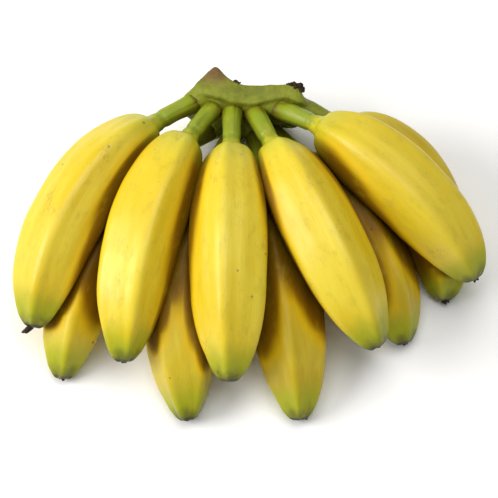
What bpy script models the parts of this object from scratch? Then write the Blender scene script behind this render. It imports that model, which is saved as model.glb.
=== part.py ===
"""A hand of ten baby bananas, laid down on a table with the hollow side of its curve under it.

Metres and degrees. +Z is up and the table is Z = 0. Seen from above, the crown lies at the back
(+Y) and the fruit fan out to the front (-Y). The hand has two rows: five lower fruit lie on the
table, and five upper fruit lie on them. Each fruit grows from its own socket in the crown, and
carries the dried rest of its flower at its tip. The fruit are flattened a little where they press
on each other and on the table, as they are on the plant. The origin is under the middle of the
whole hand.
"""

import math
from collections import namedtuple

import bmesh
import bpy
import numpy as np
from mathutils import Matrix, Vector

# How far apart neighbouring pieces stay
CLEARANCE = 0.0003
PRESSED_GAP = 2 * CLEARANCE

# One fruit, with its stem. The tapers are the two powers of its outline before and after its middle.
FRUIT_LENGTH = 0.130
FRUIT_GIRTH = 0.0330
STEM_LENGTH = 0.019
STEM_RADIUS = 0.0042
TIP_RADIUS = 0.0028
THICKEST_AT = 0.47
NECK_TAPER = (2.6, 0.70)
TIP_TAPER = (2.6, 0.50)
END_BLEND = 2.2
RIDGES = 5
RIDGE_HEIGHT = 0.042
RIDGE_HEIGHT_AT_ENDS = 0.10
STRAIGHT_SHARE = 0.06
CONTACT_DEPTH = 0.0004

# The dried flower on each tip
FLOWER_LENGTH = 0.0030
FLOWER_BASE_SHARE = 0.75
FLOWER_END_RADIUS = 0.0012

# The sockets in the crown, and the collars round them
SOCKET_DEPTH = 0.003
SOCKET_RADIUS = STEM_RADIUS * (1 + RIDGE_HEIGHT_AT_ENDS) + CLEARANCE
SOCKET_REACH = 0.020
COLLAR_WALL = 0.0012
COLLAR_RADIUS = SOCKET_RADIUS + COLLAR_WALL
COLLAR_MOUTH_SHARE = 0.87
COLLAR_LENGTH = 0.002
COLLAR_ROOT = 0.004

# The crown that joins the fruit. Its front is bowed and leans forward at the bottom.
CROWN_WIDTH = 0.054
CROWN_DEPTH = 0.0154
CROWN_BOW = 0.0061
CROWN_LEAN = 0.0035
CROWN_BRIM = 0.0024
ROW_RISE = 0.021
SEAT_MARGIN = COLLAR_RADIUS + CROWN_BRIM
CROWN_HEIGHT = ROW_RISE + 2 * SEAT_MARGIN
CORNER_SHARE = 0.35
END_ROUND_FROM = 0.88
END_SIZE = 0.45

# The knife's cut at the crown's back: places as shares of CROWN_WIDTH from its middle, and how thick
# the crown is there as a share of CROWN_DEPTH. The knife left a horn near the left end.
CUT_OUTLINE = (
    (-0.50, 0.22),
    (-0.35, 0.68),
    (-0.26, 1.00),
    (-0.17, 0.72),
    (0.06, 0.66),
    (0.30, 0.62),
    (0.43, 0.42),
    (0.50, 0.26),
)

# Mesh fineness
SIDES = 4 * RIDGES
STEM_RINGS = 4
BODY_RINGS = 17
CROWN_STATIONS = 25
CORNER_STEPS = 3
HALVINGS = 30
PRESS_HALVINGS = 14

# seat: where its stem leaves the crown, as a share of CROWN_WIDTH to the right of its middle.
# level: how high on the crown that is, from 0 for the lower row to 1 for the upper row.
# heading: degrees to the right of straight ahead at the crown; swing: how much it turns by its tip.
# rise: degrees above level at the crown, or None where the table settles it; droop: how far it
# turns down by its tip. length and girth: shares of FRUIT_LENGTH and FRUIT_GIRTH. roll: degrees
# that its ridges are turned.
Fruit = namedtuple("Fruit", "name seat level heading swing rise droop length girth roll")

FRUITS = (
    Fruit("upper_1", -0.455, 1.0, -55, 44, 15, 36, 0.995, 1.00, 20),
    Fruit("upper_2", -0.285, 1.0, -33, 31, 22, 48, 0.985, 0.98, 0),
    Fruit("upper_3", -0.130, 1.0, -1, 2, 24, 52, 0.990, 1.00, 30),
    Fruit("upper_4", 0.055, 1.0, 22, 7, 24, 52, 0.960, 1.00, 8),
    Fruit("upper_5", 0.260, 1.0, 58, -20, 22, 52, 0.925, 1.00, 40),
    Fruit("lower_1", -0.335, 0.0, -49, 42, None, 44, 1.070, 0.93, 10),
    Fruit("lower_2", -0.130, 0.0, -25, 35, None, 44, 1.080, 1.00, 50),
    Fruit("lower_3", 0.075, 0.0, 8.5, -0.5, None, 46, 1.060, 0.98, 25),
    Fruit("lower_4", 0.220, 0.0, 43, -26, None, 46, 0.910, 0.92, 0),
    Fruit("lower_5", 0.435, 0.57, 74, -74, None, 44, 0.900, 0.96, 30),
)

# Plain colours and roughness of the three materials
PEEL = ("peel", (0.78, 0.58, 0.06), 0.50)
CROWN_SKIN = ("crown_skin", (0.22, 0.27, 0.05), 0.65)
DRIED_FLOWER = ("dried_flower", (0.03, 0.02, 0.015), 0.90)


def clear_scene():
    for thing in list(bpy.data.objects):
        bpy.data.objects.remove(thing)


def plain_material(name, colour, roughness):
    material = bpy.data.materials.new(name)
    material.use_nodes = True
    skin = material.node_tree.nodes["Principled BSDF"]
    skin.inputs["Base Color"].default_value = (*colour, 1)
    skin.inputs["Roughness"].default_value = roughness
    skin.inputs["Metallic"].default_value = 0
    return material


def add_object(name, mesh, material):
    thing = bpy.data.objects.new(name, mesh)
    bpy.context.scene.collection.objects.link(thing)
    mesh.materials.append(material)
    mesh.shade_smooth()
    return thing


def finished_mesh(name, shape):
    """Turns every face outward and hands the shape over as a mesh."""
    bmesh.ops.recalc_face_normals(shape, faces=shape.faces)
    mesh = bpy.data.meshes.new(name)
    shape.to_mesh(mesh)
    shape.free()
    return mesh


def lofted(rings):
    """A skin drawn from ring to ring, with a slightly domed cap on each end."""
    shape = bmesh.new()
    count = len(rings[0])
    rim = [shape.verts.new(point) for point in rings[0]]
    edges = [shape.edges.new((rim[i], rim[(i + 1) % count])) for i in range(count)]
    first_cap = shape.faces.new(rim)
    for ring in rings[1:]:
        grown = bmesh.ops.extrude_edge_only(shape, edges=edges)["geom"]
        edges = [part for part in grown if isinstance(part, bmesh.types.BMEdge)]
        above = {}
        for vert in grown:
            if isinstance(vert, bmesh.types.BMVert):
                above.update({edge.other_vert(vert): vert for edge in vert.link_edges})
        rim = [above[vert] for vert in rim]
        for vert, point in zip(rim, ring):
            vert.co = point
    last_cap = shape.faces.new(rim)
    for cap, end, inner in ((first_cap, rings[0], rings[1]), (last_cap, rings[-1], rings[-2])):
        outward = Vector(np.mean(end, axis=0) - np.mean(inner, axis=0)).normalized()
        middle = bmesh.ops.poke(shape, faces=[cap])["verts"][0]
        middle.co += outward * CLEARANCE
    return shape


def keep_above_table(shape):
    for vert in shape.verts:
        vert.co.z = max(vert.co.z, 0)


def direction(heading, pitch):
    """The unit vector that points this many degrees right of straight ahead, and above level."""
    h, p = math.radians(heading), math.radians(pitch)
    return Vector((math.sin(h) * math.cos(p), -math.cos(h) * math.cos(p), math.sin(p)))


def crown_front(share, height):
    """How far back the crown's front lies, at this share of its width and this height."""
    return CROWN_BOW * (2 * share) ** 2 - CROWN_LEAN * (1 - height / CROWN_HEIGHT)


def seat_point(fruit):
    """The middle of the stem where it leaves the crown's front."""
    height = SEAT_MARGIN + fruit.level * ROW_RISE
    return Vector((fruit.seat * CROWN_WIDTH, crown_front(fruit.seat, height), height))


def ring_places(length):
    """Distances from the socket's bottom at which a fruit's rings stand, closest at the ends."""
    stem = STEM_LENGTH + SOCKET_DEPTH
    places = [stem * i / STEM_RINGS for i in range(STEM_RINGS)]
    body = length - STEM_LENGTH
    for i in range(BODY_RINGS + 1):
        places.append(stem + body * (1 - math.cos(math.pi * i / BODY_RINGS)) / 2)
    return places


def radius_at(place, length, girth):
    """The fruit's mean radius at this distance from the socket's bottom."""
    stem = STEM_LENGTH + SOCKET_DEPTH
    along = min(max((place - stem) / (length - STEM_LENGTH), 0), 1)
    if along < THICKEST_AT:
        from_middle, taper, end = 1 - along / THICKEST_AT, NECK_TAPER, STEM_RADIUS
    else:
        from_middle, taper, end = (along - THICKEST_AT) / (1 - THICKEST_AT), TIP_TAPER, TIP_RADIUS
    body = girth / 2 * (1 - from_middle ** taper[0]) ** taper[1]
    return (body**END_BLEND + end**END_BLEND) ** (1 / END_BLEND)


def ridge_at(place, length):
    """How far the five ridges stand out there, as a share of the radius."""
    middle = math.sqrt(math.sin(math.pi * min(max(place / length, 0), 1)))
    return RIDGE_HEIGHT_AT_ENDS + (RIDGE_HEIGHT - RIDGE_HEIGHT_AT_ENDS) * middle


class Axis:
    """A fruit's centre line: the matrix, radius and ridge height of each of its rings."""

    def __init__(self, fruit, rise):
        self.length = fruit.length * FRUIT_LENGTH
        self.matrices, self.radii, self.ridges = [], [], []
        point = seat_point(fruit) - direction(fruit.heading, rise) * SOCKET_DEPTH
        before = 0
        for place in ring_places(self.length):
            point = point + self.ahead(fruit, rise, (before + place) / 2) * (place - before)
            before = place
            ahead = self.ahead(fruit, rise, place)
            across = ahead.cross(Vector((0, 0, 1))).normalized()
            matrix = Matrix((-across, across.cross(ahead), ahead)).transposed().to_4x4()
            matrix.translation = point
            self.matrices.append(matrix)
            self.radii.append(radius_at(place, self.length, fruit.girth * FRUIT_GIRTH))
            self.ridges.append(ridge_at(place, self.length))

    def ahead(self, fruit, rise, place):
        """Where the centre line points, at this distance from the socket's bottom."""
        start = STRAIGHT_SHARE * self.length
        turned = min(max((place - start) / (self.length - start), 0), 1)
        return direction(fruit.heading + fruit.swing * turned, rise - fruit.droop * turned)


def fruit_rings(axis, roll):
    """Each ring's corners, as an array of rings by sides by three."""
    rings = []
    for matrix, radius, ridge in zip(axis.matrices, axis.radii, axis.ridges):
        ring = []
        for i in range(SIDES):
            angle = 2 * math.pi * i / SIDES
            out = radius * (1 + ridge * math.cos(RIDGES * angle))
            turn = angle + math.radians(roll)
            ring.append(matrix @ Vector((out * math.cos(turn), out * math.sin(turn), 0)))
        rings.append(ring)
    return np.array(rings)


def settled_axis(fruit):
    """The fruit's axis. Without a rise, it is bent at its stem until it just presses on the table."""
    if fruit.rise is not None:
        return Axis(fruit, fruit.rise)
    low, high = -60.0, 60.0
    for _ in range(HALVINGS):
        rise = (low + high) / 2
        axis = Axis(fruit, rise)
        lowest = fruit_rings(axis, fruit.roll)[..., 2].min()
        low, high = (rise, high) if lowest < -CONTACT_DEPTH else (low, rise)
    return axis


def depth_in(points, axis):
    """How far outside an axis's round body each point is: negative inside it."""
    line = np.array([matrix.translation for matrix in axis.matrices])
    radii = np.array(axis.radii)
    start, run = line[:-1], np.diff(line, axis=0)
    along = ((points[:, None] - start) * run).sum(2) / (run**2).sum(1)
    along = np.clip(along, 0, 1)
    nearest = start + along[..., None] * run
    radius = radii[:-1] + along * np.diff(radii)
    return (np.linalg.norm(points[:, None] - nearest, axis=2) - radius).min(1)


def is_free(points, own, others):
    """Whether each point is nearer to its own fruit than to any other, by the pressed gap."""
    own_depth = depth_in(points, own)
    return np.all([depth_in(points, other) - own_depth >= PRESSED_GAP for other in others], axis=0)


def pressed_rings(rings, own, others):
    """Draws a fruit's skin back to its side of the surface midway between it and each neighbour."""
    skin = rings.reshape(-1, 3)
    middles = np.repeat([matrix.translation for matrix in own.matrices], SIDES, axis=0)
    kept_low, kept_high = np.zeros(len(skin)), np.ones(len(skin))
    for _ in range(PRESS_HALVINGS):
        kept = (kept_low + kept_high) / 2
        free = is_free(middles + kept[:, None] * (skin - middles), own, others)
        kept_low = np.where(free, kept, kept_low)
        kept_high = np.where(free, kept_high, kept)
    kept = np.where(is_free(skin, own, others), 1, kept_low)
    return (middles + kept[:, None] * (skin - middles)).reshape(rings.shape)


def build_fruit(fruit, axes, material):
    others = [axis for name, axis in axes.items() if name != fruit.name]
    own = axes[fruit.name]
    shape = lofted(pressed_rings(fruit_rings(own, fruit.roll), own, others))
    keep_above_table(shape)
    name = "banana_" + fruit.name
    return add_object(name, finished_mesh(name, shape), material)


def build_flower(fruit, axis, material):
    """The dried flower: a small cone that stands on the fruit's tip."""
    shape = bmesh.new()
    bmesh.ops.create_cone(
        shape,
        cap_ends=True,
        segments=2 * RIDGES,
        radius1=TIP_RADIUS * FLOWER_BASE_SHARE,
        radius2=FLOWER_END_RADIUS,
        depth=FLOWER_LENGTH,
        matrix=axis.matrices[-1] @ Matrix.Translation((0, 0, 2 * CLEARANCE + FLOWER_LENGTH / 2)),
    )
    keep_above_table(shape)
    name = "flower_end_" + fruit.name
    return add_object(name, finished_mesh(name, shape), material)


def crown_ring(share):
    """The crown's outline across its width at this place: an upright with four rounded corners."""
    places, thicknesses = zip(*CUT_OUTLINE)
    thickness = CROWN_DEPTH * np.interp(share, places, thicknesses)
    beyond = max(abs(2 * share) - END_ROUND_FROM, 0) / (1 - END_ROUND_FROM)
    size = 1 - (1 - END_SIZE) * (1 - math.sqrt(1 - beyond**2))
    half_depth, half_height = size * thickness / 2, size * CROWN_HEIGHT / 2
    corner = CORNER_SHARE * 2 * half_depth
    ring = []
    for quarter in range(4):
        side = 1 if quarter in (0, 3) else -1
        end = 1 if quarter in (0, 1) else -1
        for step in range(CORNER_STEPS + 1):
            angle = math.pi / 2 * (quarter + step / CORNER_STEPS)
            y = side * (half_depth - corner) + corner * math.cos(angle)
            z = end * (half_height - corner) + corner * math.sin(angle) + CROWN_HEIGHT / 2
            y += crown_front(share, z) + thickness / 2
            ring.append((share * CROWN_WIDTH, y, z))
    return ring


def helper(name, mesh):
    thing = bpy.data.objects.new(name, mesh)
    bpy.context.scene.collection.objects.link(thing)
    thing.hide_render = True
    thing.display_type = "WIRE"
    return thing


def peg(name, matrix, near, far, near_radius, far_radius):
    """A round peg along a ring's own axis, between two distances ahead of that ring."""
    shape = bmesh.new()
    bmesh.ops.create_cone(
        shape,
        cap_ends=True,
        segments=SIDES,
        radius1=near_radius,
        radius2=far_radius,
        depth=far - near,
        matrix=matrix @ Matrix.Translation((0, 0, (near + far) / 2)),
    )
    return helper(name, finished_mesh(name, shape))


def add_boolean(thing, cutter, operation):
    step = thing.modifiers.new(cutter.name, "BOOLEAN")
    step.object = cutter
    step.operation = operation
    step.solver = "EXACT"


def build_crown(axes, material):
    """The crown: a bowed cushion with a collar round each stem and a socket in each collar."""
    shares = [-0.5 + i / (CROWN_STATIONS - 1) for i in range(CROWN_STATIONS)]
    shape = lofted(np.array([crown_ring(share) for share in shares]))
    crown = add_object("crown", finished_mesh("crown", shape), material)
    mouth = COLLAR_RADIUS * COLLAR_MOUTH_SHARE
    for name, axis in axes.items():
        root = axis.matrices[0]
        reach = SOCKET_DEPTH + COLLAR_LENGTH
        add_boolean(crown, peg("collar_" + name, root, -COLLAR_ROOT, reach, COLLAR_RADIUS, mouth), "UNION")
    for name, axis in axes.items():
        root = axis.matrices[0]
        bottom = -2 * CLEARANCE
        socket = peg("socket_" + name, root, bottom, SOCKET_REACH, SOCKET_RADIUS, SOCKET_RADIUS)
        add_boolean(crown, socket, "DIFFERENCE")
    return crown


def set_down(pieces):
    """Moves the hand so that the origin is under its middle, on the table."""
    bpy.context.view_layer.update()
    corners = [piece.matrix_world @ Vector(corner) for piece in pieces for corner in piece.bound_box]
    middle_x = (min(c.x for c in corners) + max(c.x for c in corners)) / 2
    middle_y = (min(c.y for c in corners) + max(c.y for c in corners)) / 2
    for thing in bpy.data.objects:
        thing.location = (-middle_x, -middle_y, 0)


def main():
    clear_scene()
    peel = plain_material(*PEEL)
    dried_flower = plain_material(*DRIED_FLOWER)
    axes = {fruit.name: settled_axis(fruit) for fruit in FRUITS}
    pieces = [build_fruit(fruit, axes, peel) for fruit in FRUITS]
    pieces += [build_flower(fruit, axes[fruit.name], dried_flower) for fruit in FRUITS]
    pieces.append(build_crown(axes, plain_material(*CROWN_SKIN)))
    set_down(pieces)


main()
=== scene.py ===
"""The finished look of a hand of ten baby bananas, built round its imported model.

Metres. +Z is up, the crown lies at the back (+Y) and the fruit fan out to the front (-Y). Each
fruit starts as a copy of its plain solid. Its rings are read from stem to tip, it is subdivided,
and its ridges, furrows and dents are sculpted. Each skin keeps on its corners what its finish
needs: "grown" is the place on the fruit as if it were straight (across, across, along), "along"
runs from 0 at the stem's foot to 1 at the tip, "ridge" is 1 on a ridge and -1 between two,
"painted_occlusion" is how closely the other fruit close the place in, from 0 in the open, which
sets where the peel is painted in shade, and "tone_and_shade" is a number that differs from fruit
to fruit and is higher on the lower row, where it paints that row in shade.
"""

import math

import bmesh
import bpy
import numpy as np
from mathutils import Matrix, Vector, bvhtree, noise


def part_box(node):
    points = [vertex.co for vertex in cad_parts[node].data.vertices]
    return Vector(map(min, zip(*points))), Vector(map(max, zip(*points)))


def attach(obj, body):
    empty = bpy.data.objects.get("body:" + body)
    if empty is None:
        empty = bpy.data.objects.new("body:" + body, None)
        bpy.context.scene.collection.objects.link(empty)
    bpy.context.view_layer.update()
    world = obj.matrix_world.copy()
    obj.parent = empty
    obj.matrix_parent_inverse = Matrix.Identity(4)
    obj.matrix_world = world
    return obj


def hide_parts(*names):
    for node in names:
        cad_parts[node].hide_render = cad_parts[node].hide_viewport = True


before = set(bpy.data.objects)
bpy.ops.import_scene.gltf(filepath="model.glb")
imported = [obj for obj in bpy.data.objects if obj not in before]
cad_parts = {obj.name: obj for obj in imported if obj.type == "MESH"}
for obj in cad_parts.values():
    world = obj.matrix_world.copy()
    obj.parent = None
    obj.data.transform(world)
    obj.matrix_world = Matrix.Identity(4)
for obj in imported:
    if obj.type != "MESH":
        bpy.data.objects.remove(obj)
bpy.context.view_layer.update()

FRUITS = [f"{row}_{number}" for row in ("upper", "lower") for number in range(1, 6)]
# How deep the yellow of each fruit is, from 0 for the palest to 1 for the most golden. It differs at
# random from fruit to fruit, and it is higher on the lower row as painted shade under the upper row.
TONES_AND_ROW_SHADE = dict(zip(FRUITS, (0.30, 0.12, 0.20, 0.25, 0.42, 0.60, 0.75, 1.0, 1.0, 0.92)))
MERGE_DISTANCE = 0.00001

# How the plain solid of a fruit is laid out, and how finely its skin is divided
SIDES = 20
RIDGES = 5
SKIN_LEVELS = 3
# A corner nearer the middle than this share of its ring's usual radius is pressed flat, and one
# further out than the second share is free
PRESSED_BELOW = 0.90
FREE_ABOVE = 0.96
# Shares of the radius: how far the skin swells, and how far the ridges and facets stand out
SKIN_SWELL = 0.016
RIDGE_LIFT = 0.028
FACET_LIFT = 0.016
STEM_RIDGE_LOSS = 0.075
# The rest is in metres. Places along the fruit count from the stem's foot.
AXIS_FADE = 0.002
STEM_END = 0.0215
BODY_BEGINS = (0.0175, 0.0335)
WAIST = 0.0015
WAIST_AT = 0.0255
WAIST_WIDTH = 0.0026
NECK_CREASE = 0.00022
NECK_CREASE_WIDTH = 0.0009
FOOT_SWELL = 0.0008
FOOT_SWELL_ENDS = 0.015
STEM_FURROW = 0.00016
STEM_FURROW_SIZE = 0.0016
FURROWS_ROUND = 0.004
FURROWS_ALONG = 0.12
DENT = 0.00035
DENT_SIZE = 0.016
GRAIN_DEPTH = 0.00006
GRAIN_SIZE = 0.0022
GRAIN_STRETCH = (1, 1, 0.35)
# The nose draws the tip out, along the line from this far back to the tip
NOSE = 0.0024
NOSE_BEGINS = 0.010
NOSE_LINE = (0.008, 0.012)

# How far a fruit looks round for its neighbours, and in how many directions, to find where its peel is
# painted in shade
OCCLUSION_REACH = 0.030
OCCLUSION_LOOKS = 160

# The crown, seen from above. Each point is a share of the plain crown's width from its left, and a
# share of its depth from its front. The horn that the knife left is the high point of the back.
CROWN_BACK = ((0.0, 0.54), (0.06, 0.70), (0.24, 1.14), (0.265, 1.24), (0.29, 1.12), (0.37, 0.86),
              (0.46, 0.77), (0.58, 0.74), (0.74, 0.75), (0.88, 0.80), (0.94, 0.70), (1.0, 0.44))
CROWN_FRONT = ((0.0, 0.46), (0.13, 0.55), (0.27, 0.45), (0.40, 0.33), (0.55, 0.31), (0.70, 0.39),
               (0.82, 0.46), (1.0, 0.36))
# Its top, as a share of its height
CROWN_TOP = ((0.0, 0.86), (0.26, 1.0), (0.5, 0.95), (0.8, 0.96), (0.92, 0.93), (1.0, 0.82))
CROWN_CUTS = 40
CROWN_ROUNDING = 14
CROWN_FOOT_ROUNDING = 0.85
# How far its front draws back below the lip, and the horn, which begins at this share of the depth.
# Heights are shares of the crown's height.
CROWN_UNDERCUT = 0.0014
UNDERCUT_HEIGHT = (0.3, 0.75)
HORN_BEGINS = 0.76
HORN_HEIGHT = (0.2, 0.85)
HORN_REACH = (0.001, 0.017)
CROWN_VOXEL = 0.0006
CROWN_SMOOTHING = 14
CROWN_LUMP = 0.0006
CROWN_LUMP_SIZE = 0.006
CROWN_GRAIN = 0.00014
CROWN_GRAIN_SIZE = 0.0016
# The dry cut: how far it fills the crown's back, and how square it is
CUT_FACING = (0.25, 0.80)
CUT_BEGINS = (0.45, 0.55)
CUT_EDGE = (0.74, 0.96)
CUT_TOP = 0.94
CUT_SQUARENESS = 3.0
CUT_DEPTH = 0.0012
CUT_ROUGHNESS = 0.0009
CUT_ROUGHNESS_SIZE = 0.0030
CUT_ROUGHNESS_STRETCH = (1, 1, 0.4)

# The necks by which the crown takes hold of the stems, and the wider shoulder at its right end
NECK_BACK = 0.007
NECK_REACH = 0.0027
NECK_FOOT_RADIUS = 0.0066
NECK_FOOT_LIFT = 0.0030
NECK_LIP_RADIUS = 0.0047
SHOULDER = "lower_5"
SHOULDER_REACH = 0.0175
SHOULDER_FOOT_RADIUS = 0.0084
SHOULDER_LIP_RADIUS = 0.0032
SHOULDER_LIFT = (0.0058, 0.0006)

# The crust that the sap left on its upper back edge: shares of its width, and how big each crumb is
CRUMBS = ((0.425, 0.0008), (0.452, 0.0006), (0.85, 0.0009), (0.875, 0.0011), (0.90, 0.0014),
          (0.925, 0.0017), (0.948, 0.0014))
CRUMB_STRETCH = (1.25, 0.8, 0.8)
# Jags on a crumb: how deep and how wide, as shares of its radius
CRUMB_JAGS = ((0.75, 0.8), (0.30, 0.3))
# How wide a slice of the crown is searched for the edge under a crumb
EDGE_SLICE = 0.002

# The dried flowers: how long and how wide each one is against the plain one, and how far it leans
# to the left
FLOWERS = dict(zip(FRUITS, ((1.6, 0.75, 0.7), (0.7, 0.55, 0.2), (0.5, 0.75, 0.0), (0.7, 0.7, -0.2),
                            (0.9, 0.6, 0.3), (0.6, 0.95, 0.1), (0.5, 0.6, 0.5), (0.6, 0.9, -0.5),
                            (0.8, 0.65, -0.1), (0.9, 0.9, -0.3))))
FLOWER_SINK = 0.0012
LOBES = 7
LOBE_RAISE = 0.0014
LOBE_NOISE_SCALE = 900
LOBE_INSET = 0.0006
RIM_BEGINS = 0.9
FACES_AHEAD = 0.9
CUP_DEPTH = 0.0009
FLOWER_CRUMPLE = 0.00035
FLOWER_CRUMPLE_SIZE = 0.0011

# Colours of the peel
GOLD = (0.76, 0.545, 0.010)
LEMON = (0.83, 0.665, 0.045)
# Deeper gold: partly a real difference between fruit, partly painted shade on the lower row
DEEP_GOLD_AND_SHADE = (0.50, 0.350, 0.004)
OLIVE_YELLOW = (0.66, 0.53, 0.010)
PALE_STREAK = (0.80, 0.68, 0.10)
# Painted shade: warm yellow, brown and dark where the crown and the other fruit close the peel in
PAINTED_WARM_SHADE = (0.78, 0.49, 0.002)
PAINTED_SHADE_BROWN = (0.30, 0.140, 0.001)
PAINTED_SHADE_DARK = (0.10, 0.05, 0.002)
YOUNG_GREEN = (0.20, 0.265, 0.010)
LEAF_GREEN = (0.30, 0.37, 0.020)
YELLOW_GREEN = (0.53, 0.52, 0.022)
# Painted shade in the crease where the stem's foot meets the crown
PAINTED_FOOT_SHADE = (0.06, 0.07, 0.010)
TIP_GREEN = (0.36, 0.38, 0.012)
TIP_OLIVE = (0.085, 0.10, 0.004)
TIP_BLACK = (0.02, 0.016, 0.010)
MOTTLE = (0.52, 0.41, 0.02)
SCUFF = (0.40, 0.29, 0.04)
SCRATCH = (0.30, 0.20, 0.05)
SMALL_FLECK = (0.34, 0.22, 0.05)
LARGE_FLECK = (0.16, 0.09, 0.03)

# Colours of the crown
CROWN_GREEN = (0.15, 0.172, 0.012)
CROWN_LIME = (0.26, 0.285, 0.020)
CROWN_PALE = (0.34, 0.32, 0.06)
CUT_DARK = (0.15, 0.090, 0.036)
CUT_PALE = (0.40, 0.29, 0.145)
CUT_BLOTCH = (0.11, 0.062, 0.025)
CUT_STREAK = (0.10, 0.055, 0.022)
CUT_VEIN = (0.040, 0.022, 0.010)
CUT_RIM = (0.055, 0.032, 0.014)
RUST_DARK = (0.09, 0.05, 0.018)
RUST_PALE = (0.24, 0.14, 0.045)
CROWN_SPOT = (0.07, 0.05, 0.018)

# Colours of the dried flowers and the crust
DRIED_BLACK = (0.012, 0.009, 0.007)
DRIED_BROWN = (0.075, 0.045, 0.025)
DRIED_PALE = (0.16, 0.11, 0.06)

# Floor and light. Each lamp: name, place, size, power and colour
FLOOR_SIZE = 6.0
FLOOR_DROP = 0.0002
ROOM_LIGHT = 0.29
LAMPS = (("key", (-0.95, -0.08, 0.68), 0.65, 11.5, (1.0, 0.98, 0.95)),
         ("top", (0.10, 0.20, 1.15), 0.9, 7.6, (1.0, 1.0, 1.0)))

# Camera: aimed from the front and above, a little right of the crown's middle and ahead of it
VIEW_ELEVATION = 68
VIEW_DISTANCE = 0.8
VIEW_LENS = 133
AIM_RIGHT = 0.0017
AIM_AHEAD = 0.0625
AIM_HEIGHT = 0.035


# ---------------------------------------------------------------- working on a piece


def work_on(piece):
    """Makes this piece the only selected one."""
    bpy.ops.object.select_all(action="DESELECT")
    piece.select_set(True)
    bpy.context.view_layer.objects.active = piece


def finish_modifier(piece, kind, **settings):
    """Adds a modifier, sets it and applies it."""
    work_on(piece)
    step = piece.modifiers.new(kind.lower(), kind)
    for name, value in settings.items():
        setattr(step, name, value)
    bpy.ops.object.modifier_apply(modifier=step.name)


def node_copy(node, name):
    """A new piece with the mesh of a CAD node, its loose corners merged."""
    piece = bpy.data.objects.new(name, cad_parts[node].data.copy())
    bpy.context.scene.collection.objects.link(piece)
    piece.data.materials.clear()
    work_on(piece)
    bpy.ops.mesh.customdata_custom_splitnormals_clear()
    bpy.ops.object.mode_set(mode="EDIT")
    bpy.ops.mesh.select_all(action="SELECT")
    bpy.ops.mesh.remove_doubles(threshold=MERGE_DISTANCE)
    bpy.ops.object.mode_set(mode="OBJECT")
    return piece


def corners_of(piece):
    """The piece's corners and the directions they face, as two arrays."""
    mesh = piece.data
    places = np.empty(3 * len(mesh.vertices))
    facing = np.empty(3 * len(mesh.vertices))
    mesh.vertices.foreach_get("co", places)
    mesh.vertex_normals.foreach_get("vector", facing)
    return places.reshape(-1, 3), facing.reshape(-1, 3)


def move_corners(piece, places):
    piece.data.vertices.foreach_set("co", places.ravel())
    piece.data.update()


def keep_values(piece, name, values):
    """Keeps a number or a vector on each corner of the piece."""
    vector = values.ndim == 2
    kept = piece.data.attributes.new(name, "FLOAT_VECTOR" if vector else "FLOAT", "POINT")
    kept.data.foreach_set("vector" if vector else "value", values.astype(np.float32).ravel())


def kept_values(piece, name):
    kept = piece.data.attributes[name]
    vector = kept.data_type == "FLOAT_VECTOR"
    values = np.empty(len(kept.data) * (3 if vector else 1), dtype=np.float32)
    kept.data.foreach_get("vector" if vector else "value", values)
    return values.reshape(-1, 3) if vector else values


def bumps(places, size, seed=0):
    """Smooth random heights from -1 to 1, about this size across, at these places."""
    shift = Vector((seed * 7.3, seed * 3.1, seed * 5.7))
    return np.array([noise.noise(Vector(place) / size + shift) for place in places.tolist()])


def smooth_step(value, low, high):
    share = np.clip((value - low) / (high - low), 0, 1)
    return share * share * (3 - 2 * share)


def finish_piece(piece, material, slot, *nodes):
    """Shades a piece smooth, gives it its material and its place in the frame, and hides the nodes it
    stands for.
    """
    work_on(piece)
    bpy.ops.object.shade_smooth()
    piece.data.materials.append(material)
    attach(piece, "root")
    if nodes:
        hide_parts(*nodes)


# ---------------------------------------------------------------- the fruit


def neighbours(corner):
    return [edge.other_vert(corner) for edge in corner.link_edges]


def in_order(corners):
    """The corners of a ring in order round it."""
    order = [min(corners, key=lambda corner: corner.index)]
    while len(order) < len(corners):
        beside = [c for c in neighbours(order[-1]) if c in corners and c not in order]
        order.append(min(beside, key=lambda corner: corner.index))
    return order


def turned_ways(ring):
    """The same ring started at each of its corners, in both directions."""
    ways = (ring, ring[::-1])
    return [way[start:] + way[:start] for way in ways for start in range(len(ring))]


def middle_of(ring):
    return sum((corner.co for corner in ring), Vector()) / len(ring)


def first_ring(root):
    """The ring at the stem's foot, started on its highest ridge and turning right-handed."""
    ring = in_order(set(neighbours(root)))
    middle = middle_of(ring)
    ahead = middle - root.co

    def merit(way):
        right_handed = (way[0].co - middle).cross(way[1].co - middle).dot(ahead) > 0
        ridges = sum((corner.co - middle).length for corner in way[:: SIDES // RIDGES])
        return (right_handed, round(ridges, 7), way[0].co.z)

    return max(turned_ways(ring), key=merit)


def rings_of(shape):
    """A skin's rings from its stem to its tip, lined up with each other, and its two end points."""
    shape.verts.index_update()
    crown_middle = (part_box("crown")[0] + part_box("crown")[1]) / 2
    ends = [corner for corner in shape.verts if len(corner.link_edges) == SIDES]
    root, tip = sorted(ends, key=lambda corner: (corner.co - crown_middle).length)
    rings = [first_ring(root)]
    seen = {root, tip, *rings[0]}
    while len(seen) < len(shape.verts):
        beyond = {near for corner in rings[-1] for near in neighbours(corner)} - seen

        def apart(way):
            return sum((a.co - b.co).length_squared for a, b in zip(rings[-1], way))

        rings.append(min(turned_ways(in_order(beyond)), key=apart))
        seen |= beyond
    return rings, root, tip


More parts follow.
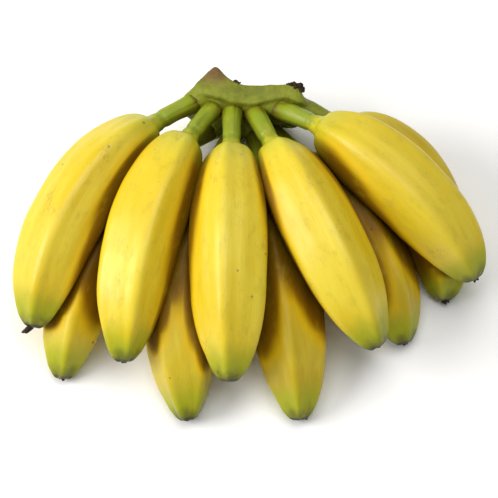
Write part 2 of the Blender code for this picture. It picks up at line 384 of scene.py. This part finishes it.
def read_skin(piece, tone_and_shade):
    """Keeps where each corner of a plain fruit has grown, and returns the corners' ring and side."""
    shape = bmesh.new()
    shape.from_mesh(piece.data)
    rings, _, tip = rings_of(shape)
    middles = [middle_of(ring) for ring in rings]
    lengths = [0.0]
    for before, after in zip(middles, middles[1:]):
        lengths.append(lengths[-1] + (after - before).length)
    grown = np.zeros((len(shape.verts), 3))
    free = np.zeros(len(shape.verts))
    grown[tip.index] = (0, 0, lengths[-1])
    side_of = {}
    for number, (ring, middle) in enumerate(zip(rings, middles)):
        reach = [(corner.co - middle).length for corner in ring]
        usual = float(np.median(reach))
        for side, corner in enumerate(ring):
            angle = 2 * math.pi * side / SIDES
            grown[corner.index] = (usual * math.cos(angle), usual * math.sin(angle), lengths[number])
            free[corner.index] = smooth_step(reach[side] / usual, PRESSED_BELOW, FREE_ABOVE)
            side_of[corner.index] = (number, side)
    shape.free()
    keep_values(piece, "grown", grown)
    keep_values(piece, "free", free)
    keep_values(piece, "along", grown[:, 2] / lengths[-1])
    keep_values(piece, "tone_and_shade", np.full(len(grown), tone_and_shade))
    return side_of


def clear_diagonals(piece, side_of):
    """Dissolves the edges that cross from one side of the fruit to the next, which leaves quads."""
    work_on(piece)
    bpy.ops.object.mode_set(mode="EDIT")
    bpy.ops.mesh.select_mode(type="EDGE")
    bpy.ops.mesh.select_all(action="DESELECT")
    shape = bmesh.from_edit_mesh(piece.data)
    for edge in shape.edges:
        ends = [side_of.get(corner.index) for corner in edge.verts]
        if None not in ends and ends[0][0] != ends[1][0] and ends[0][1] != ends[1][1]:
            edge.select_set(True)
    bmesh.update_edit_mesh(piece.data)
    bpy.ops.mesh.dissolve_edges(use_verts=False)
    bpy.ops.object.mode_set(mode="OBJECT")


def sculpt_skin(piece, seed):
    """Raises the ridges, flattens the facets between them, and adds furrows, dents and grain."""
    places, facing = corners_of(piece)
    grown, free = kept_values(piece, "grown"), kept_values(piece, "free")
    angle = np.arctan2(grown[:, 1], grown[:, 0])
    radius = np.hypot(grown[:, 0], grown[:, 1])
    off_axis = smooth_step(radius, 0, AXIS_FADE)
    ridge = np.cos(RIDGES * angle) * off_axis
    facet = np.cos(2 * RIDGES * angle) * off_axis
    on_body = smooth_step(grown[:, 2], *BODY_BEGINS)
    stem = 1 - on_body
    lift = RIDGE_LIFT * on_body - STEM_RIDGE_LOSS * stem
    height = radius * free * (SKIN_SWELL + lift * ridge + FACET_LIFT * on_body * facet)
    height -= WAIST * np.exp(-(((grown[:, 2] - WAIST_AT) / WAIST_WIDTH) ** 2))
    height -= NECK_CREASE * np.exp(-(((grown[:, 2] - STEM_END) / NECK_CREASE_WIDTH) ** 2))
    around = FURROWS_ROUND * np.array((np.cos(angle), np.sin(angle)))
    furrow = np.column_stack((*around, FURROWS_ALONG * grown[:, 2]))
    height += stem * STEM_FURROW * bumps(furrow, STEM_FURROW_SIZE, seed)
    height += FOOT_SWELL * (1 - smooth_step(grown[:, 2], 0, FOOT_SWELL_ENDS))
    height += free * DENT * bumps(places, DENT_SIZE, seed + 1)
    height += GRAIN_DEPTH * bumps(grown * GRAIN_STRETCH, GRAIN_SIZE, seed + 2)
    keep_values(piece, "ridge", ridge)
    places += facing * height[:, None]
    to_tip = grown[:, 2].max() - grown[:, 2]
    nose = NOSE * (1 - smooth_step(to_tip, 0, NOSE_BEGINS))
    places += np.array(way_at_tip(places, grown)) * nose[:, None]
    places[:, 2] = np.maximum(places[:, 2], 0)
    move_corners(piece, places)


def way_at_tip(places, grown):
    """The way a fruit points at its tip."""
    to_tip = grown[:, 2].max() - grown[:, 2]
    near = (to_tip > NOSE_LINE[0]) & (to_tip < NOSE_LINE[1])
    return (Vector(places[to_tip.argmin()]) - Vector(places[near].mean(axis=0))).normalized()


def spread_directions(count):
    """Directions spread evenly over a ball."""
    turn = math.pi * (3 - math.sqrt(5))
    heights = [1 - 2 * (step + 0.5) / count for step in range(count)]
    return [Vector((math.sqrt(1 - high * high) * math.cos(turn * step),
                    math.sqrt(1 - high * high) * math.sin(turn * step), high))
            for step, high in enumerate(heights)]


def surfaces_round(fruit):
    """The crown and the other nine fruit as one searchable surface."""
    corners, faces = [], []
    for name in ["crown"] + ["banana_" + other for other in FRUITS if other != fruit]:
        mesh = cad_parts[name].data
        faces += [[len(corners) + corner for corner in face.vertices] for face in mesh.polygons]
        corners += [corner.co.copy() for corner in mesh.vertices]
    return bvhtree.BVHTree.FromPolygons(corners, faces)


def closed_in(place, ahead, surfaces, looks):
    """How closely the surfaces close in a place that faces ahead: 0 in the open, 1 if they touch it."""
    start = place + ahead * MERGE_DISTANCE
    closed, whole = 0.0, 0.0
    for look in looks:
        weight = look.dot(ahead)
        if weight > 0:
            whole += weight
            distance = surfaces.ray_cast(start, look, OCCLUSION_REACH)[3]
            if distance is not None:
                closed += weight * (1 - distance / OCCLUSION_REACH)
    return closed / whole


def read_painted_occlusion(piece, fruit):
    """Keeps on each corner how closely the crown and the other fruit close it in, which sets where the
    peel is painted in shade.
    """
    surfaces, looks = surfaces_round(fruit), spread_directions(OCCLUSION_LOOKS)
    painted_occlusion = [closed_in(Vector(place), Vector(ahead), surfaces, looks)
              for place, ahead in zip(*corners_of(piece))]
    keep_values(piece, "painted_occlusion", np.array(painted_occlusion))


def banana(fruit, number, material):
    piece = node_copy("banana_" + fruit, "skin_" + fruit)
    side_of = read_skin(piece, tone_and_shade=TONES_AND_ROW_SHADE[fruit])
    read_painted_occlusion(piece, fruit)
    clear_diagonals(piece, side_of)
    finish_modifier(piece, "SUBSURF", levels=SKIN_LEVELS, render_levels=SKIN_LEVELS)
    sculpt_skin(piece, seed=10 * number)
    finish_piece(piece, material, "peel", "banana_" + fruit)


# ---------------------------------------------------------------- the crown


def crown_dryness(places, facing):
    """How dried out each place on the crown is: 1 on the cut at its back, fading round its edge."""
    low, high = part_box("crown")
    across, deep, high_up = ((places - np.array(low)) / np.array(high - low)).T
    from_middle = np.abs(np.column_stack((2 * across - 1, 2 * high_up / CUT_TOP - 1)))
    within = (from_middle**CUT_SQUARENESS).sum(axis=1) ** (1 / CUT_SQUARENESS)
    on_cut = smooth_step(deep, *CUT_BEGINS) * (1 - smooth_step(within, *CUT_EDGE))
    return smooth_step(facing[:, 1], *CUT_FACING) * on_cut


def horn_nearness(places):
    """1 at the horn that the knife left, fading away from it."""
    tip = places[places[:, 1].argmax()]
    return 1 - smooth_step(np.hypot(*(places - tip)[:, :2].T), *HORN_REACH)


def crown_bar():
    """The crown without its necks: a bar shaped to the line of its back and of its front."""
    low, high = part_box("crown")
    size = high - low
    bpy.ops.object.select_all(action="DESELECT")
    bpy.ops.mesh.primitive_cube_add(size=1, location=(low + high) / 2, scale=size)
    piece = bpy.context.object
    bpy.ops.object.transform_apply(location=True, rotation=True, scale=True)
    bpy.ops.object.mode_set(mode="EDIT")
    bpy.ops.mesh.select_all(action="SELECT")
    bpy.ops.mesh.subdivide(number_cuts=CROWN_CUTS)
    bpy.ops.object.mode_set(mode="OBJECT")
    places, _ = corners_of(piece)
    share = (places - np.array(low)) / np.array(size)
    across, deep, high_up = share.T
    below = CROWN_FOOT_ROUNDING * np.minimum(2 * high_up - 1, 0) ** 2 / 2
    to_side = CROWN_FOOT_ROUNDING * (2 * across - 1) ** 2 / 2
    places[:, 0] = low.x + (0.5 + (across - 0.5) * np.sqrt(1 - below)) * size.x
    lifted = np.where(high_up < 0.5, 0.5 + (high_up - 0.5) * np.sqrt(1 - to_side), high_up)
    places[:, 2] = lifted * size.z
    back = np.interp(across, *zip(*CROWN_BACK))
    horn = np.maximum(back - HORN_BEGINS, 0)
    back -= horn * (1 - smooth_step(high_up, *HORN_HEIGHT))
    front = np.interp(across, *zip(*CROWN_FRONT))
    front += CROWN_UNDERCUT / size.y * (1 - smooth_step(high_up, *UNDERCUT_HEIGHT))
    places[:, 1] = low.y + (front + deep * (back - front)) * size.y
    places[:, 2] *= np.interp(across, *zip(*CROWN_TOP))
    move_corners(piece, places)
    finish_modifier(piece, "SMOOTH", factor=0.5, iterations=CROWN_ROUNDING)
    return piece


def stem_root(fruit):
    """The foot of a stem and the way it grows."""
    shape = bmesh.new()
    shape.from_mesh(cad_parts["banana_" + fruit].data)
    bmesh.ops.remove_doubles(shape, verts=shape.verts, dist=MERGE_DISTANCE)
    rings, root, _ = rings_of(shape)
    foot, ahead = root.co.copy(), (middle_of(rings[1]) - root.co).normalized()
    shape.free()
    return foot, ahead


def crown_neck(fruit):
    """A cone that swells from the crown on to the foot of a stem."""
    foot, ahead = stem_root(fruit)
    start = foot - ahead * NECK_BACK + Vector((0, 0, NECK_FOOT_LIFT))
    end = foot + ahead * NECK_REACH
    wide, lip = NECK_FOOT_RADIUS, NECK_LIP_RADIUS
    if fruit == SHOULDER:
        start.z = foot.z + SHOULDER_LIFT[0]
        end = foot + ahead * SHOULDER_REACH + Vector((0, 0, SHOULDER_LIFT[1]))
        wide, lip = SHOULDER_FOOT_RADIUS, SHOULDER_LIP_RADIUS
    axis = end - start
    bpy.ops.object.select_all(action="DESELECT")
    bpy.ops.mesh.primitive_cone_add(
        vertices=32, radius1=wide, radius2=lip, depth=axis.length,
        location=(start + end) / 2, rotation=axis.to_track_quat("Z", "Y").to_euler(),
    )
    return bpy.context.object


def crown(material):
    necks = [crown_neck(fruit) for fruit in FRUITS]
    piece = crown_bar()
    work_on(piece)
    for neck in necks:
        neck.select_set(True)
    bpy.ops.object.join()
    bpy.ops.object.transform_apply(location=True, rotation=True, scale=True)
    piece.name = piece.data.name = "crown_cushion"
    finish_modifier(piece, "REMESH", mode="VOXEL", voxel_size=CROWN_VOXEL)
    finish_modifier(piece, "SMOOTH", factor=0.5, iterations=CROWN_SMOOTHING)
    places, facing = corners_of(piece)
    dry = crown_dryness(places, facing)
    keep_values(piece, "dry", dry)
    keep_values(piece, "horn", horn_nearness(places))
    height = CROWN_LUMP * bumps(places, CROWN_LUMP_SIZE, 3)
    height += CROWN_GRAIN * bumps(places, CROWN_GRAIN_SIZE, 4)
    height -= CUT_DEPTH * dry
    height += CUT_ROUGHNESS * dry * bumps(places * CUT_ROUGHNESS_STRETCH, CUT_ROUGHNESS_SIZE, 5)
    places += facing * height[:, None]
    places[:, 2] = np.maximum(places[:, 2], 0)
    move_corners(piece, places)
    finish_piece(piece, material, "crown_skin", "crown")
    return piece


def crust(crown_piece, material):
    """Jagged black crumbs along the upper back edge of the crown."""
    places, _ = corners_of(crown_piece)
    low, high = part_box("crown")
    crumbs = []
    for number, (share, radius) in enumerate(CRUMBS):
        across = low.x + share * (high.x - low.x)
        near = places[np.abs(places[:, 0] - across) < EDGE_SLICE / 2]
        edge = near[(near[:, 1] + near[:, 2]).argmax()]
        bpy.ops.object.select_all(action="DESELECT")
        bpy.ops.mesh.primitive_ico_sphere_add(
            subdivisions=4, radius=radius, location=(across, edge[1], edge[2]), scale=CRUMB_STRETCH
        )
        crumb = bpy.context.object
        bpy.ops.object.transform_apply(location=True, rotation=True, scale=True)
        corners, facing = corners_of(crumb)
        jag = sum(deep * radius * bumps(corners, wide * radius, number) for deep, wide in CRUMB_JAGS)
        move_corners(crumb, corners + facing * jag[:, None])
        crumbs.append(crumb)
    for crumb in crumbs:
        crumb.select_set(True)
    bpy.context.view_layer.objects.active = crumbs[0]
    bpy.ops.object.join()
    piece = bpy.context.object
    piece.name = piece.data.name = "sap_crust"
    finish_piece(piece, material, "crown_skin")


# ---------------------------------------------------------------- the dried flowers


def flower_place(fruit):
    """Where a dried flower stands: its foot, the way it points, its length and its widest radius."""
    points = [corner.co.copy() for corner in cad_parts["flower_end_" + fruit].data.vertices]
    low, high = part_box("banana_" + fruit)
    body = (low + high) / 2
    points.sort(key=lambda point: (point - body).length)
    half = len(points) // 2
    foot = sum(points[:half], Vector()) / half
    end = sum(points[half:], Vector()) / (len(points) - half)
    radius = max((point - foot).length for point in points[:half])
    return foot, (end - foot).normalized(), (end - foot).length, radius


def dried_flower(fruit, number, material):
    """A short cup of shrunken, ragged lobes."""
    foot, ahead, length, radius = flower_place(fruit)
    longer, wider, lean = FLOWERS[fruit]
    foot -= ahead * FLOWER_SINK
    length = length * longer + FLOWER_SINK
    radius *= wider
    turn = ahead.to_track_quat("Z", "Y")
    bpy.ops.object.select_all(action="DESELECT")
    bpy.ops.mesh.primitive_cylinder_add(
        vertices=2 * LOBES, radius=radius, depth=length, location=foot + ahead * length / 2,
        rotation=turn.to_euler(),
    )
    piece = bpy.context.object
    piece.name = piece.data.name = "dried_flower_" + fruit
    bpy.ops.object.transform_apply(location=True, rotation=True, scale=True)
    bpy.ops.object.mode_set(mode="EDIT")
    bpy.ops.mesh.select_mode(type="FACE")
    bpy.ops.mesh.select_all(action="DESELECT")
    shape = bmesh.from_edit_mesh(piece.data)
    for face in shape.faces:
        face.select_set(face.normal.dot(ahead) > FACES_AHEAD)
    bmesh.update_edit_mesh(piece.data)
    bpy.ops.mesh.inset(thickness=LOBE_INSET)
    bpy.ops.mesh.extrude_region_move(TRANSFORM_OT_translate={"value": -ahead * CUP_DEPTH})
    shape = bmesh.from_edit_mesh(piece.data)
    rim = [c for c in shape.verts if (c.co - foot).dot(ahead) > length * RIM_BEGINS]
    shift = Vector((number, 0, 0))
    for corner in rim:
        corner.co += ahead * LOBE_RAISE * noise.noise(corner.co * LOBE_NOISE_SCALE + shift)
    bmesh.update_edit_mesh(piece.data)
    bpy.ops.mesh.select_all(action="SELECT")
    bpy.ops.mesh.subdivide(number_cuts=2)
    bpy.ops.object.mode_set(mode="OBJECT")
    finish_modifier(piece, "SUBSURF", levels=1, render_levels=1)
    places, facing = corners_of(piece)
    out = np.clip((places - np.array(foot)) @ np.array(ahead) - FLOWER_SINK, 0, None)
    places += np.outer(out * lean, np.array(ahead.cross(Vector((0, 0, 1))).normalized()))
    places += facing * (FLOWER_CRUMPLE * bumps(places, FLOWER_CRUMPLE_SIZE, number))[:, None]
    places[:, 2] = np.maximum(places[:, 2], 0)
    move_corners(piece, places)
    finish_piece(piece, material, "dried_flower", "flower_end_" + fruit)


# ---------------------------------------------------------------- finishes


def put(tree, kind, inputs=None, **settings):
    """Adds a node. An input given as another node's output is linked, and any other is set."""
    node = tree.nodes.new(kind)
    for name, value in settings.items():
        setattr(node, name, value)
    for name, value in (inputs or {}).items():
        if isinstance(value, bpy.types.NodeSocket):
            tree.links.new(value, node.inputs[name])
        else:
            node.inputs[name].default_value = value
    return node


def kept(tree, name, output="Fac"):
    """A value that the piece keeps on its corners."""
    return put(tree, "ShaderNodeAttribute", attribute_name=name).outputs[output]


def mixed(tree, share, first, second):
    """The colour between two colours."""
    node = put(tree, "ShaderNodeMix", data_type="RGBA", clamp_factor=True)
    for place, value in ((0, share), (6, first), (7, second)):
        if isinstance(value, bpy.types.NodeSocket):
            tree.links.new(value, node.inputs[place])
        else:
            node.inputs[place].default_value = value if place == 0 else (*value, 1)
    return node.outputs[2]


def calc(tree, operation, first, second=0.0, third=0.0):
    return put(tree, "ShaderNodeMath", {0: first, 1: second, 2: third}, operation=operation).outputs[0]


def stepped(tree, value, low, high, to_low=0.0, to_high=1.0):
    """The value turned smoothly from to_low at low to to_high at high."""
    inputs = {"Value": value, "From Min": low, "From Max": high, "To Min": to_low, "To Max": to_high}
    return put(tree, "ShaderNodeMapRange", inputs, interpolation_type="SMOOTHSTEP").outputs[0]


def cloud(tree, place, scale, detail=2.0, roughness=0.5, stretch=(1, 1, 1)):
    """Soft random noise, stretched along an axis."""
    moved = put(tree, "ShaderNodeMapping", {"Vector": place, "Scale": stretch}).outputs[0]
    inputs = {"Vector": moved, "Scale": scale, "Detail": detail, "Roughness": roughness}
    return put(tree, "ShaderNodeTexNoise", inputs).outputs["Fac"]


def new_group(name, inputs, outputs):
    """An empty node group with these inputs (name: kind and usual value) and outputs."""
    group = bpy.data.node_groups.new(name, "ShaderNodeTree")
    for label, (kind, usual) in inputs.items():
        socket = group.interface.new_socket(label, in_out="INPUT", socket_type=kind)
        if usual is not None:
            socket.default_value = usual
    for label, kind in outputs.items():
        group.interface.new_socket(label, in_out="OUTPUT", socket_type=kind)
    inside = group.nodes.new("NodeGroupInput")
    outside = group.nodes.new("NodeGroupOutput")
    return group, inside.outputs, outside.inputs


def placed(tree, group, inputs):
    """Places a node group in a material and returns its outputs."""
    return put(tree, "ShaderNodeGroup", inputs, node_tree=group).outputs


def flecks_group():
    """Small round spots of uneven size, on only some of the cells of a pattern."""
    group, given, result = new_group(
        "flecks",
        {
            "Place": ("NodeSocketVector", None),
            "Scale": ("NodeSocketFloat", 200.0),
            "Share": ("NodeSocketFloat", 0.2),
            "Size": ("NodeSocketFloat", 0.2),
        },
        {"Mask": "NodeSocketFloat"},
    )
    cells = put(group, "ShaderNodeTexVoronoi", {"Vector": given["Place"], "Scale": given["Scale"]})
    chance = put(group, "ShaderNodeSeparateColor", {0: cells.outputs["Color"]}).outputs
    chosen = calc(group, "LESS_THAN", chance[0], given["Share"])
    reach = calc(group, "MULTIPLY", given["Size"], calc(group, "ADD", chance[1], 0.35))
    inner = calc(group, "MULTIPLY", reach, 0.4)
    spot = stepped(group, cells.outputs["Distance"], inner, reach, 1.0, 0.0)
    group.links.new(calc(group, "MULTIPLY", spot, chosen), result["Mask"])
    return group


def marks_group():
    """Short wandering scratches, in only a few places."""
    group, given, result = new_group(
        "scratches",
        {"Place": ("NodeSocketVector", None), "Scale": ("NodeSocketFloat", 120.0)},
        {"Mask": "NodeSocketFloat"},
    )
    twisted = cloud(group, given["Place"], given["Scale"], 5.0, 0.7, (1, 1, 0.6))
    line = calc(group, "ABSOLUTE", calc(group, "SUBTRACT", twisted, 0.5))
    thin = stepped(group, line, 0.004, 0.020, 1.0, 0.0)
    few = cloud(group, given["Place"], calc(group, "MULTIPLY", given["Scale"], 0.55), 1.0, 0.5)
    area = stepped(group, few, 0.64, 0.74)
    group.links.new(calc(group, "MULTIPLY", thin, area), result["Mask"])
    return group


def fibres_group():
    """Long thin fibres that run along a piece, as a height and as streaks."""
    group, given, result = new_group(
        "fibres",
        {"Place": ("NodeSocketVector", None), "Scale": ("NodeSocketFloat", 900.0)},
        {"Streaks": "NodeSocketFloat", "Height": "NodeSocketFloat"},
    )
    fine = cloud(group, given["Place"], given["Scale"], 3.0, 0.6, (1, 1, 0.06))
    wide = calc(group, "MULTIPLY", given["Scale"], 0.3)
    broad = cloud(group, given["Place"], wide, 2.0, 0.5, (1, 1, 0.08))
    group.links.new(stepped(group, broad, 0.35, 0.65), result["Streaks"])
    group.links.new(fine, result["Height"])
    return group


def new_material(name, roughness, specular):
    material = bpy.data.materials.new(name)
    material.use_nodes = True
    tree = material.node_tree
    skin = tree.nodes["Principled BSDF"]
    skin.inputs["Roughness"].default_value = roughness
    skin.inputs["Specular IOR Level"].default_value = specular
    return material, tree, skin


def peel_material(flecks, fibres, marks_in_skin):
    """Waxy yellow peel, green at the stem and dark at the tip, with small brown flecks and scuffs."""
    material, tree, skin = new_material("waxy_peel", 0.42, 0.55)
    place, along = kept(tree, "grown", "Vector"), kept(tree, "along")
    ridge, tone_and_shade, painted_occlusion = kept(tree, "ridge"), kept(tree, "tone_and_shade"), kept(tree, "painted_occlusion")
    apart = put(tree, "ShaderNodeCombineXYZ", {"X": tone_and_shade, "Y": tone_and_shade, "Z": tone_and_shade}).outputs[0]
    own = put(tree, "ShaderNodeVectorMath", {0: place, 1: apart}, operation="ADD").outputs[0]
    fibre = placed(tree, fibres, {"Place": own, "Scale": 1100.0})

    broad = cloud(tree, own, 45.0, 2.0, 0.5, (1, 1, 0.6))
    yellow = mixed(tree, stepped(tree, broad, 0.3, 0.7), GOLD, LEMON)
    # Deeper gold by each fruit's tone: partly real, partly painted shade on the lower row
    yellow = mixed(tree, calc(tree, "MULTIPLY", tone_and_shade, 0.9), yellow, DEEP_GOLD_AND_SHADE)
    fine = cloud(tree, own, 160.0, 3.0, 0.6, (1, 1, 0.5))
    yellow = mixed(tree, stepped(tree, fine, 0.45, 0.75, 0.0, 0.4), yellow, OLIVE_YELLOW)
    streak = calc(tree, "MULTIPLY", fibre["Streaks"], 0.14)
    yellow = mixed(tree, streak, yellow, PALE_STREAK)
    # Painted shade: warmer, then brown, where the crown and the other fruit close the peel in
    yellow = mixed(tree, stepped(tree, painted_occlusion, 0.05, 0.18, 0.0, 0.60), yellow, PAINTED_WARM_SHADE)
    yellow = mixed(tree, stepped(tree, painted_occlusion, 0.14, 0.36, 0.0, 0.95), yellow, PAINTED_SHADE_BROWN)

    wander = calc(tree, "MULTIPLY", calc(tree, "SUBTRACT", fine, 0.5), 0.05)
    edge = calc(tree, "MULTIPLY_ADD", ridge, -0.005, calc(tree, "ADD", along, wander))
    leafy = mixed(tree, fine, YOUNG_GREEN, LEAF_GREEN)
    skin_colour = mixed(tree, stepped(tree, edge, 0.19, 0.36, 0.85, 0.0), yellow, YELLOW_GREEN)
    skin_colour = mixed(tree, stepped(tree, edge, 0.168, 0.205, 1.0, 0.0), skin_colour, leafy)
    # Painted shade: a dark ring in the crease at the stem's foot
    skin_colour = mixed(tree, stepped(tree, along, 0.026, 0.042, 0.60, 0.0), skin_colour, PAINTED_FOOT_SHADE)
    skin_colour = mixed(tree, stepped(tree, edge, 0.870, 0.970), skin_colour, TIP_GREEN)
    skin_colour = mixed(tree, stepped(tree, edge, 0.952, 0.996, 0.0, 0.85), skin_colour, TIP_OLIVE)
    skin_colour = mixed(tree, stepped(tree, along, 0.988, 0.998), skin_colour, TIP_BLACK)

    mottle = cloud(tree, own, 230.0, 4.0, 0.65, (1, 1, 0.55))
    skin_colour = mixed(tree, stepped(tree, mottle, 0.50, 0.72, 0.0, 0.45), skin_colour, MOTTLE)
    scuff_cloud = cloud(tree, own, 100.0, 7.0, 0.75, (1, 1, 0.45))
    scuffs = stepped(tree, scuff_cloud, 0.585, 0.70)
    skin_colour = mixed(tree, calc(tree, "MULTIPLY", scuffs, 0.35), skin_colour, SCUFF)
    marks = placed(tree, marks_in_skin, {"Place": own, "Scale": 120.0})["Mask"]
    skin_colour = mixed(tree, calc(tree, "MULTIPLY", marks, 0.35), skin_colour, SCRATCH)
    few = placed(tree, flecks, {"Place": own, "Scale": 210.0, "Share": 0.07, "Size": 0.16})["Mask"]
    many = placed(tree, flecks, {"Place": own, "Scale": 520.0, "Share": 0.10, "Size": 0.20})["Mask"]
    skin_colour = mixed(tree, calc(tree, "MULTIPLY", many, 0.30), skin_colour, SMALL_FLECK)
    skin_colour = mixed(tree, calc(tree, "MULTIPLY", few, 0.75), skin_colour, LARGE_FLECK)
    # Painted shade: darkest where the other fruit close the peel in most
    closed = stepped(tree, painted_occlusion, 0.16, 0.52, 0.0, 0.6)
    skin_colour = mixed(tree, closed, skin_colour, PAINTED_SHADE_DARK)
    tree.links.new(skin_colour, skin.inputs["Base Color"])
    sheen = calc(tree, "MINIMUM", stepped(tree, painted_occlusion, 0.05, 0.25, 0.50, 0.12),
                 stepped(tree, along, 0.87, 0.96, 0.50, 0.20))
    tree.links.new(sheen, skin.inputs["Specular IOR Level"])

    rough = calc(tree, "MULTIPLY_ADD", scuffs, 0.12, stepped(tree, fine, 0.3, 0.7, 0.36, 0.47))
    tree.links.new(rough, skin.inputs["Roughness"])
    height = calc(tree, "MULTIPLY_ADD", few, -0.6, calc(tree, "MULTIPLY", fibre["Height"], 0.5))
    height = calc(tree, "MULTIPLY_ADD", fine, 0.8, height)
    bump = put(tree, "ShaderNodeBump", {"Height": height, "Strength": 0.35, "Distance": 0.0004})
    tree.links.new(bump.outputs[0], skin.inputs["Normal"])
    return material


def crown_material(flecks, fibres):
    """Olive green skin, brown and fibrous where the knife cut it and where it dried."""
    material, tree, skin = new_material("crown_skin", 0.6, 0.25)
    place = put(tree, "ShaderNodeTexCoord").outputs["Object"]
    dry, horn = kept(tree, "dry"), kept(tree, "horn")
    broad = cloud(tree, place, 110.0, 4.0, 0.6)
    fine = cloud(tree, place, 700.0, 4.0, 0.65)
    green = mixed(tree, stepped(tree, broad, 0.30, 0.70), CROWN_GREEN, CROWN_LIME)
    green = mixed(tree, stepped(tree, fine, 0.5, 0.8, 0.0, 0.35), green, CROWN_PALE)
    fibre = placed(tree, fibres, {"Place": place, "Scale": 1300.0})
    worn = calc(tree, "MULTIPLY_ADD", calc(tree, "SUBTRACT", broad, 0.5), 0.9, dry)
    brown = mixed(tree, fine, CUT_DARK, CUT_PALE)
    brown = mixed(tree, stepped(tree, broad, 0.40, 0.62, 0.0, 0.75), brown, CUT_BLOTCH)
    brown = mixed(tree, calc(tree, "MULTIPLY", fibre["Streaks"], 0.25), brown, CUT_STREAK)
    veins = placed(tree, flecks, {"Place": place, "Scale": 330.0, "Share": 0.5, "Size": 0.30})["Mask"]
    brown = mixed(tree, calc(tree, "MULTIPLY", veins, 0.8), brown, CUT_VEIN)
    rim = mixed(tree, stepped(tree, worn, 0.55, 0.85), CUT_RIM, brown)
    colour = mixed(tree, stepped(tree, worn, 0.25, 0.55), green, rim)
    rusty = mixed(tree, fine, RUST_DARK, RUST_PALE)
    rust = calc(tree, "MULTIPLY_ADD", worn, 0.25, horn)
    colour = mixed(tree, stepped(tree, rust, 0.15, 0.95), colour, rusty)
    spots = placed(tree, flecks, {"Place": place, "Scale": 480.0, "Share": 0.22, "Size": 0.27})["Mask"]
    colour = mixed(tree, calc(tree, "MULTIPLY", spots, 0.65), colour, CROWN_SPOT)
    tree.links.new(colour, skin.inputs["Base Color"])
    tree.links.new(stepped(tree, worn, 0.2, 0.8, 0.48, 0.85), skin.inputs["Roughness"])
    height = calc(tree, "MULTIPLY_ADD", fine, 0.7, calc(tree, "MULTIPLY", fibre["Height"], 0.6))
    height = calc(tree, "MULTIPLY_ADD", calc(tree, "MULTIPLY", veins, dry), -0.5, height)
    bump = put(tree, "ShaderNodeBump", {"Height": height, "Strength": 0.45, "Distance": 0.0006})
    tree.links.new(bump.outputs[0], skin.inputs["Normal"])
    return material


def dried_material(flecks):
    """Matt, almost black, crumbly dried flower and crust."""
    material, tree, skin = new_material("dried_black", 0.9, 0.25)
    place = put(tree, "ShaderNodeTexCoord").outputs["Object"]
    fine = cloud(tree, place, 1500.0, 5.0, 0.7)
    colour = mixed(tree, stepped(tree, fine, 0.35, 0.7), DRIED_BLACK, DRIED_BROWN)
    pale = placed(tree, flecks, {"Place": place, "Scale": 1800.0, "Share": 0.2, "Size": 0.3})["Mask"]
    colour = mixed(tree, calc(tree, "MULTIPLY", pale, 0.4), colour, DRIED_PALE)
    tree.links.new(colour, skin.inputs["Base Color"])
    tree.links.new(stepped(tree, fine, 0.3, 0.7, 0.75, 0.98), skin.inputs["Roughness"])
    bump = put(tree, "ShaderNodeBump", {"Height": fine, "Strength": 0.9, "Distance": 0.0005})
    tree.links.new(bump.outputs[0], skin.inputs["Normal"])
    return material


# ---------------------------------------------------------------- floor, light and camera


def floor():
    bpy.ops.object.select_all(action="DESELECT")
    bpy.ops.mesh.primitive_plane_add(size=FLOOR_SIZE, location=(0, 0, -FLOOR_DROP))
    plane = bpy.context.object
    plane.name = "floor"
    material, _, skin = new_material("pale_floor", 0.9, 0.1)
    skin.inputs["Base Color"].default_value = (1, 1, 1, 1)
    plane.data.materials.append(material)


def lamp(name, place, size, power, colour):
    """A soft square lamp that faces the hand."""
    light = bpy.data.lights.new(name, "AREA")
    light.size = size
    light.energy = power
    light.color = colour
    thing = bpy.data.objects.new(name, light)
    bpy.context.scene.collection.objects.link(thing)
    thing.location = place
    thing.rotation_euler = (-Vector(place)).to_track_quat("-Z", "Y").to_euler()


def studio():
    scene = bpy.context.scene
    scene.view_settings.view_transform = "Standard"
    world = bpy.data.worlds.new("studio")
    world.use_nodes = True
    world.node_tree.nodes["Background"].inputs["Color"].default_value = (1, 1, 1, 1)
    world.node_tree.nodes["Background"].inputs["Strength"].default_value = ROOM_LIGHT
    scene.world = world
    for row in LAMPS:
        lamp(*row)


def camera():
    low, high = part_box("crown")
    aim = Vector(((low.x + high.x) / 2 + AIM_RIGHT, low.y - AIM_AHEAD, AIM_HEIGHT))
    elevation = math.radians(VIEW_ELEVATION)
    back = Vector((0, -math.cos(elevation), math.sin(elevation)))
    data = bpy.data.cameras.new("camera")
    data.lens = VIEW_LENS
    eye = bpy.data.objects.new("camera", data)
    bpy.context.scene.collection.objects.link(eye)
    eye.location = aim + back * VIEW_DISTANCE
    eye.rotation_euler = (-back).to_track_quat("-Z", "Y").to_euler()
    bpy.context.scene.camera = eye


def build():
    flecks, fibres = flecks_group(), fibres_group()
    peel, dried = peel_material(flecks, fibres, marks_group()), dried_material(flecks)
    for number, fruit in enumerate(FRUITS):
        banana(fruit, number, peel)
        dried_flower(fruit, number, dried)
    crust(crown(crown_material(flecks, fibres)), dried)
    floor()
    studio()
    camera()


build()
